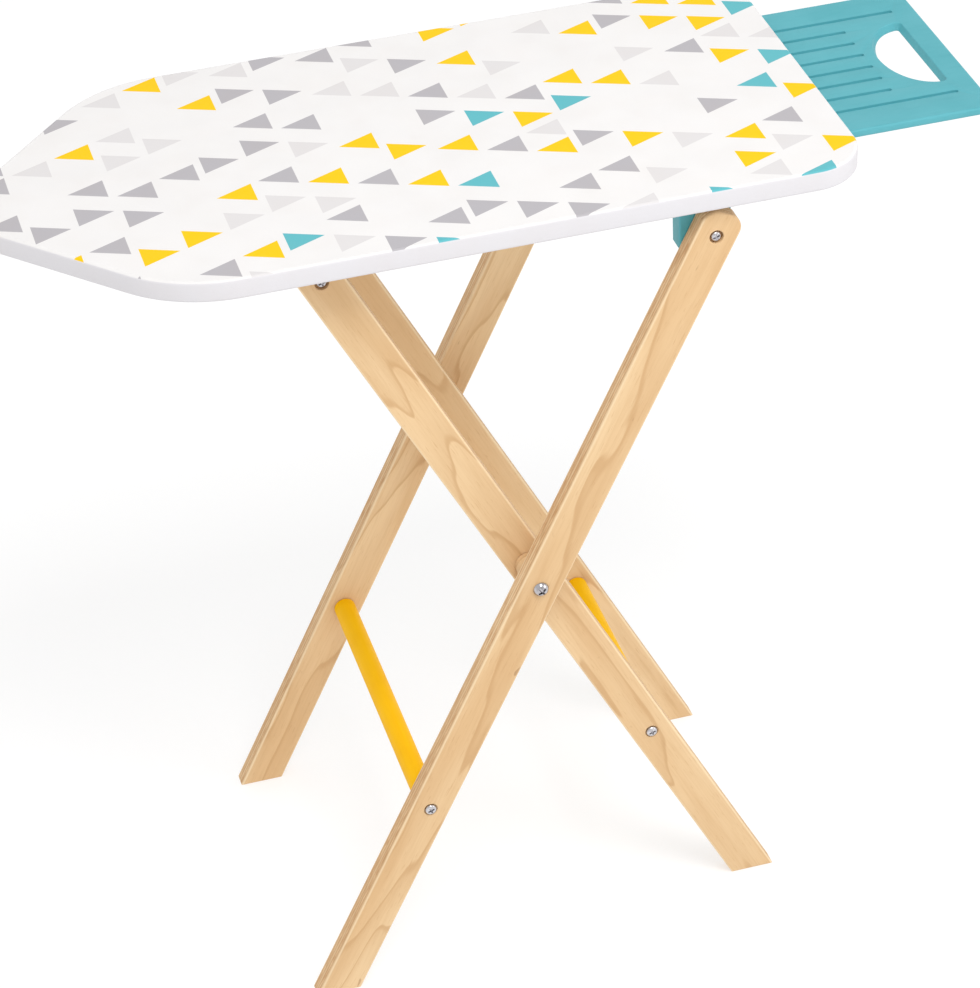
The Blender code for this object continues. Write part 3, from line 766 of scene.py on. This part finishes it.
# Nose, shoulders and corners are arcs between straight sides; the pocket below takes the rest's tongue.
def makeBoard():
    half = (boardHigh.y - boardLow.y) / 2
    apex = boardLow.x - board["noseRadius"] * (1 / sin(board["noseAngle"]) - 1)
    shoulder = apex + half / tan(board["noseAngle"])
    outline = roundCorners([
        (apex, 0, board["noseRadius"]),
        (shoulder, -half, board["shoulderRadius"]),
        (boardHigh.x, -half, board["cornerRadius"]),
        (boardHigh.x, half, board["cornerRadius"]),
        (shoulder, half, board["shoulderRadius"]),
    ], board["arcStep"])
    middle = Matrix.Translation((0, 0, (boardHigh.z + boardLow.z) / 2))
    thick = (boardHigh.z - boardLow.z) / 2
    item = solid("boardTop", easedPlate(outline, thick, board["edgeEase"], board["edgeSteps"]), middle)
    restLow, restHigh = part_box("iron_rest")
    fit = board["pocketFit"]
    margin = surface["cutMargin"]
    left, right = restLow.x - fit, boardHigh.x + margin
    front, back = restLow.y - fit, restHigh.y + fit
    pocket = np.array([(left, front), (right, front), (right, back), (left, back)])
    cutters = [solid("pocket", stackRings(pocket, [0, 0], [boardLow.z - margin, restHigh.z + fit]))]
    for node in restScrews + sum(blockScrews.values(), []):
        cutters.append(pilotHole(node, boardLow.z))
    cutAway(item, cutters)
    dress(item, "board_top", finishes["board"])


rest = {
    "edgeEase": 0.0015,
    "cornerRadius": 0.010,
    "grooveCount": 8,
    "grooveMargin": 0.0237,
    "grooveHalfWidth": 0.0016,
    "grooveDepth": 0.0019,
    "grooveFloorRound": 0.0004,
    "grooveEndRound": 0.97,  # of half the width
    "grooveRunIn": 0.006,
    "grooveToGrip": 0.0084,
    "grooveToEnd": 0.014,
    "rimRound": 0.0002,
    "grooveSteps": 4,
    "gripHalfWidth": 0.0367,
    "gripLength": 0.0247,
    "gripEndWall": 0.0164,
    "gripCornerRadius": 0.0016,
    "gripFlare": 0.0018,  # how much the hole widens upwards on each side
    "gripTopRound": 0.0008,
    "gripBottomRound": 0.0010,
    "gripSteps": 37,
    "gripEdgeSteps": 6,
}


# A groove's section: rims rounded outwards, straight walls and a floor with rounded corners.
def grooveCutter(start, end, y, topZ):
    half = rest["grooveHalfWidth"]
    corner = half * rest["grooveEndRound"]
    outline = roundCorners([
        (start, y - half, 0), (end, y - half, corner), (end, y + half, corner), (start, y + half, 0),
    ])
    angle = np.linspace(0, pi / 2, rest["grooveSteps"])
    rim, floor = rest["rimRound"], rest["grooveFloorRound"]
    insets = np.concatenate([[-rim], -rim * (1 - np.sin(angle)), floor * (1 - np.cos(angle))])
    heights = np.concatenate([
        [surface["cutMargin"]],
        -rim * (1 - np.cos(angle)),
        floor * (1 - np.sin(angle)) - rest["grooveDepth"],
    ])
    return solid("groove", stackRings(outline, insets, heights), Matrix.Translation((0, 0, topZ)))


# The grip hole: half an ellipse on a straight base, wider at the top, with both rims rounded.
def gripCutter(endX, topZ, bottomZ):
    base = endX - rest["gripEndWall"]
    half = rest["gripHalfWidth"]
    turn = np.linspace(0, pi, rest["gripSteps"])[1:-1]
    flank = np.stack([base - rest["gripLength"] * np.sin(turn), half * np.cos(turn), 0 * turn], 1)
    corner = rest["gripCornerRadius"]
    outline = roundCorners([(base, half, corner), *flank.tolist(), (base, -half, corner)])
    angle = np.linspace(0, pi / 2, rest["gripEdgeSteps"])
    above, below = rest["gripTopRound"], rest["gripBottomRound"]
    topInsets = -rest["gripFlare"] - above * (1 - np.sin(angle))
    insets = np.concatenate([topInsets[:1], topInsets, below * (np.sin(angle[::-1]) - 1), [-below]])
    heights = np.concatenate([
        [topZ + surface["cutMargin"]], topZ - above * (1 - np.cos(angle)),
        bottomZ + below * (1 - np.cos(angle[::-1])), [bottomZ - surface["cutMargin"]],
    ])
    return solid("grip", stackRings(outline, insets, heights))


# A plate with two rounded corners, from which the grip hole and the lanes of grooves are cut.
def makeRest():
    low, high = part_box("iron_rest")
    corner = rest["cornerRadius"]
    outline = roundCorners([
        (low.x, low.y, 0), (high.x, low.y, corner), (high.x, high.y, corner), (low.x, high.y, 0),
    ])
    middle = Matrix.Translation((0, 0, (low.z + high.z) / 2))
    item = solid("ironRest", easedPlate(outline, (high.z - low.z) / 2, rest["edgeEase"]), middle)
    start = boardHigh.x - rest["grooveRunIn"]
    longEnd = high.x - rest["grooveToEnd"]
    shortEnd = high.x - rest["gripEndWall"] - rest["gripLength"] - rest["grooveToGrip"]
    cutters = [gripCutter(high.x, high.z, low.z)]
    margin = rest["grooveMargin"]
    lanes = np.linspace(low.y + margin, high.y - margin, rest["grooveCount"])
    for y in lanes:
        outermost = y in (lanes[0], lanes[-1])
        cutters.append(grooveCutter(start, longEnd if outermost else shortEnd, y, high.z))
    for node in restScrews:
        cutters.append(pilotHole(node, low.z))
    cutAway(item, cutters)
    dress(item, "iron_rest", finishes["teal"])
    for node in restScrews:
        underScrew(node, screw["flatHeadHeight"])


makeBoard()
makeRest()
print("board and rest made")

block = {"edgeEase": 0.0012, "seatEase": 0.0006, "slideFit": 0.0004, "seatSteps": 19, "seatEdgeSteps": 3}


# An upright box with eased rims: its side view, carried across the board.
def makeHingeBlock(tag, side):
    node = f"hinge_block_{tag}"
    low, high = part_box(node)
    half = (high.x - low.x) / 2
    tall = high.z - low.z
    outline = np.array([(-half, 0), (half, 0), (half, tall), (-half, tall)])
    place = standing((low.x + high.x) / 2, (low.y + high.y) / 2, low.z)
    item = solid(pieceName(node), easedPlate(outline, (high.y - low.y) / 2, block["edgeEase"]), place)
    outerY = high.y if side > 0 else low.y
    screwLow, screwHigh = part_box(f"hinge_screw_{tag}")
    depth = abs(outerY - (screwLow.y if side > 0 else screwHigh.y)) + screw["pilotFit"]
    pin = facing(hinge.x, outerY, hinge.z, side)
    cutters = [drill(screw["holeRadius"], surface["cutMargin"], -depth, pin)]
    for name in blockScrews[node]:
        middle = middleOf(name)
        face = hanging(middle.x, middle.y, low.z)
        cutters.append(screwHole(screw["blockRecess"], tall + surface["cutMargin"], face))
    cutAway(item, cutters)
    dress(item, node, finishes["teal"])


# Seen from the side: a flat lead-in, a quarter-round seat about the top bar's axis, and a stop.
def makeCatchBlock(tag):
    node = f"catch_block_{tag}"
    low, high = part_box(node)
    barLow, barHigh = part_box("inner_top_bar")
    bar = (barLow + barHigh) / 2
    seat = (barHigh.x - barLow.x) / 2 + block["slideFit"]
    top = high.z - bar.z
    bottom = low.z - bar.z
    stopEnd = high.x - bar.x
    turn = np.linspace(pi / 2, 0, block["seatSteps"])
    arc = np.stack([seat * np.cos(turn), seat * np.sin(turn)], 1)
    ends = np.array([(seat, bottom), (stopEnd, bottom), (stopEnd, top)])
    start = np.array([(low.x - bar.x, top), (low.x - bar.x, seat)])
    outline = np.concatenate([start, arc, ends])
    place = standing(bar.x, (low.y + high.y) / 2, bar.z)
    shape = easedPlate(outline, (high.y - low.y) / 2, block["seatEase"], block["seatEdgeSteps"])
    item = solid(pieceName(node), shape, place)
    cutters = []
    for name in blockScrews[node]:
        middle = middleOf(name)
        face = hanging(middle.x, middle.y, low.z)
        cutters.append(screwHole(screw["blockRecess"], high.z - low.z + surface["cutMargin"], face))
    cutAway(item, cutters)
    dress(item, node, finishes["teal"])


for tag, side in sides.items():
    makeHingeBlock(tag, side)
    makeCatchBlock(tag)
    for node in blockScrews[f"hinge_block_{tag}"] + blockScrews[f"catch_block_{tag}"]:
        underScrew(node)
print("blocks made")


# A leg in its own plane: along from the pivot, across its width; the foot is cut level with the floor.
def makeLeg(kind, tag, side, holes):
    node = f"{kind}_leg_{tag}"
    low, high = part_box(node)
    angle = legAngle[kind]
    half = leg["width"] / 2
    top = hypot(hinge.x - pivot.x, hinge.z - pivot.z) + leg["topOverhang"]
    leftFoot = -(pivot.z + half * cos(angle)) / sin(angle)
    rightFoot = -(pivot.z - half * cos(angle)) / sin(angle)
    corner = leg["topCorner"]
    outline = roundCorners([
        (leftFoot, half, 0), (rightFoot, -half, 0), (top, -half, corner), (top, half, corner),
    ])
    turn = Matrix.Rotation(-angle, 4, "Y") @ Matrix.Rotation(pi / 2, 4, "X")
    place = Matrix.Translation((pivot.x, (low.y + high.y) / 2, pivot.z)) @ turn
    item = solid(pieceName(node), easedPlate(outline, legThickness / 2, leg["edgeEase"]), place)
    outerY = high.y if side > 0 else low.y
    through = legThickness + surface["cutMargin"]
    bolt = facing(pivot.x, outerY, pivot.z, side)
    if kind == "outer":
        cutters = [drill(leg["boltHole"], surface["cutMargin"], -through, bolt)]
    else:
        cutters = [drill(leg["insertHole"], surface["cutMargin"], leg["insertCover"] - legThickness, bolt)]
    for name, recess in holes.items():
        middle = middleOf(name)
        cutters.append(screwHole(recess, through, facing(middle.x, outerY, middle.z, side)))
    cutAway(item, cutters)
    dress(item, node, finishes[kind])


dowel = {"endEase": 0.0006}


# A round bar turned about Y, with a blind pilot hole in each end.
def makeDowel(node, screwNode):
    low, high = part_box(node)
    middle = (low + high) / 2
    radius = (high.x - low.x) / 2
    half = (high.y - low.y) / 2
    bore = screw["holeRadius"]
    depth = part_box(screwNode)[0].y - screw["pilotFit"]
    endEase = dowel["endEase"]
    rim = [(0, depth), (bore, depth), (bore, half), (radius - endEase, half), (radius, half - endEase)]
    profile = rim + [(r, -h) for r, h in reversed(rim)]
    item = solid(pieceName(node), spin(profile), facing(middle.x, 0, middle.z, 1))
    dress(item, node, finishes["yellow"])


for tag, side in sides.items():
    makeLeg("outer", tag, side, {
        f"hinge_screw_{tag}": screw["deepRecess"],
        f"outer_crossbar_screw_{tag}": screw["legRecess"],
    })
    makeLeg("inner", tag, side, {
        f"inner_top_bar_screw_{tag}": screw["deepRecess"],
        f"inner_crossbar_screw_{tag}": screw["legRecess"],
    })
    for name in ("hinge", "inner_top_bar"):
        sideScrew(f"{name}_screw_{tag}", side, screw["sunkHeadRadius"])
    for name in ("outer_crossbar", "inner_crossbar"):
        sideScrew(f"{name}_screw_{tag}", side, screw["headRadius"])
for node in ("outer_crossbar", "inner_crossbar", "inner_top_bar"):
    makeDowel(node, f"{node}_screw_far")
print("legs and dowels made")

pivotSet = {
    "shankRadius": 0.0028,
    "boreRadius": 0.0031,
    "headRadius": 0.0048,
    "dome": 0.0032,
    "crossDepth": 0.0022,
    "crossScale": 1.3,
    "crossTurn": radians(35),
    "domeSteps": 12,
    "ease": 0.0004,
}


# A ring: a rectangle with two eased corners, turned about the pivot's axis.
def ring(node, side, finish):
    low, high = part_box(node)
    middle = (low + high) / 2
    outer = (high.x - low.x) / 2
    half = (high.y - low.y) / 2
    inner = pivotSet["boreRadius"]
    soft = min(pivotSet["ease"], half / 2)
    profile = [(inner, half), (outer - soft, half), (outer, half - soft)]
    profile += [(outer, soft - half), (outer - soft, -half), (inner, -half)]
    item = solid(pieceName(node), spin(profile, closed=True), facing(middle.x, middle.y, middle.z, side))
    dress(item, node, finish)


# A domed head: a cap of the sphere that passes through the crown and the rim.
def makeBolt(tag, side):
    node = f"pivot_bolt_{tag}"
    low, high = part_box(node)
    dome, rim = pivotSet["dome"], pivotSet["headRadius"]
    length = high.y - low.y - dome
    top = high.y if side > 0 else low.y
    sphere = (rim**2 + dome**2) / (2 * dome)
    angle = np.linspace(0, np.arcsin(rim / sphere), pivotSet["domeSteps"])
    cap = np.stack([sphere * np.sin(angle), sphere * np.cos(angle) - sphere + dome], 1).tolist()
    shank = pivotSet["shankRadius"]
    soft = pivotSet["ease"]
    profile = cap + [(shank, 0), (shank, -length + soft), (shank - soft, -length), (0, -length)]
    place = facing(pivot.x, top - side * dome, pivot.z, side)
    item = solid(pieceName(node), spin(profile), place)
    turn = Matrix.Rotation(pivotSet["crossTurn"], 4, "Z")
    cutAway(item, [crossRecess(dome, place @ turn, pivotSet["crossDepth"], pivotSet["crossScale"])])
    dress(item, node, finishes["bright"])


for tag, side in sides.items():
    ring(f"pivot_spacer_{tag}", side, finishes["spacer"])
    ring(f"pivot_insert_{tag}", side, finishes["zinc"])
    makeBolt(tag, side)
print("pivots made")

studio = {
    "floorColour": colour(178, 178, 178),
    "floorGlow": 0.57,  # the paper is lit from below, so that shadows on it stay faint
    "floorSize": 30.0,
    "floorFibreScale": 220.0,
    "floorFibreDetail": 3.0,
    "floorRoughness": 0.85,
    "floorRoughSwing": 0.1,
    "glowColour": colour(255, 255, 255),
    "skyColour": colour(255, 255, 255),
    "skyHorizon": 0.97,
    "skyTop": 0.78,
    "skyBand": (0.03, 0.4),  # sines of the heights between which the sky dims
    "keyPower": 31.5,
    "keySize": 1.0,
    "keyPlace": (0.25, -1.3, 2.6),
    "fillPower": 8.0,
    "fillSize": 1.4,
    "fillPlace": (2.0, -1.2, 1.2),
    "aim": (0.0, 0.0, 0.3),
}


def areaLight(name, power, size, place):
    lamp = bpy.data.lights.new(name, "AREA")
    lamp.energy = power
    lamp.size = size
    item = bpy.data.objects.new(name, lamp)
    item.location = place
    look = Vector(studio["aim"]) - Vector(place)
    item.rotation_euler = look.to_track_quat("-Z", "Y").to_euler()
    bpy.context.scene.collection.objects.link(item)


def makeFloor():
    half = studio["floorSize"] / 2
    corners = np.array([(-half, -half, 0), (half, -half, 0), (half, half, 0), (-half, half, 0)])
    mesh = bpy.data.meshes.new("floor")
    mesh.from_pydata(corners.tolist(), [], [(0, 1, 2, 3)])
    floor = bpy.data.objects.new("floor", mesh)
    bpy.context.scene.collection.objects.link(floor)
    material, shader, place, _ = newFinish("floorPaper")
    fibre = noise(place, studio["floorFibreScale"], studio["floorFibreDetail"])
    wireUp(shader, {"Roughness": studio["floorRoughness"] + swing(fibre, studio["floorRoughSwing"])}, {
        "Base Color": studio["floorColour"],
        "Emission Color": studio["glowColour"],
        "Emission Strength": studio["floorGlow"],
    })
    mesh.materials.append(material)


# The sky is as pale as the far floor where the two meet, and dims a little towards its top.
def makeSky():
    world = bpy.data.worlds.new("studio")
    world.use_nodes = True
    bpy.context.scene.world = world
    place = Wire(world.node_tree).node("ShaderNodeTexCoord", out="Generated")
    height = place.node("ShaderNodeSeparateXYZ", None, {0: place}).output(2)
    fall = studio["skyHorizon"] - studio["skyTop"]
    strength = studio["skyHorizon"] - ease(height, *studio["skyBand"]) * fall
    wireUp(world.node_tree.nodes["Background"], {"Strength": strength}, {"Color": studio["skyColour"]})


makeFloor()
for light in ("key", "fill"):
    areaLight(light, studio[light + "Power"], studio[light + "Size"], studio[light + "Place"])
makeSky()
bpy.context.scene.view_settings.view_transform = "Standard"
print("studio lit")

camera = {
    "place": (-0.44298, -1.73778, 1.53910),
    "right": (0.96038063, -0.27545700, -0.04233773),
    "down": (-0.19231163, -0.54506958, -0.81603639),
    "ahead": (0.20170592, 0.79184758, -0.57644785),
    "focalPixels": 3542.53,
    "longSidePixels": 988,
    "sensor": 36.0,
    "farthest": 50.0,
}


def makeCamera():
    data = bpy.data.cameras.new("camera")
    data.sensor_width = camera["sensor"]
    data.sensor_height = camera["sensor"]
    data.lens = camera["focalPixels"] * camera["sensor"] / camera["longSidePixels"]
    data.clip_end = camera["farthest"]
    item = bpy.data.objects.new("camera", data)
    columns = np.array([camera["right"], -np.array(camera["down"]), -np.array(camera["ahead"])]).T
    turn = Matrix(columns.tolist()).to_4x4()
    item.matrix_world = Matrix.Translation(camera["place"]) @ turn
    bpy.context.scene.collection.objects.link(item)
    bpy.context.scene.camera = item


makeCamera()
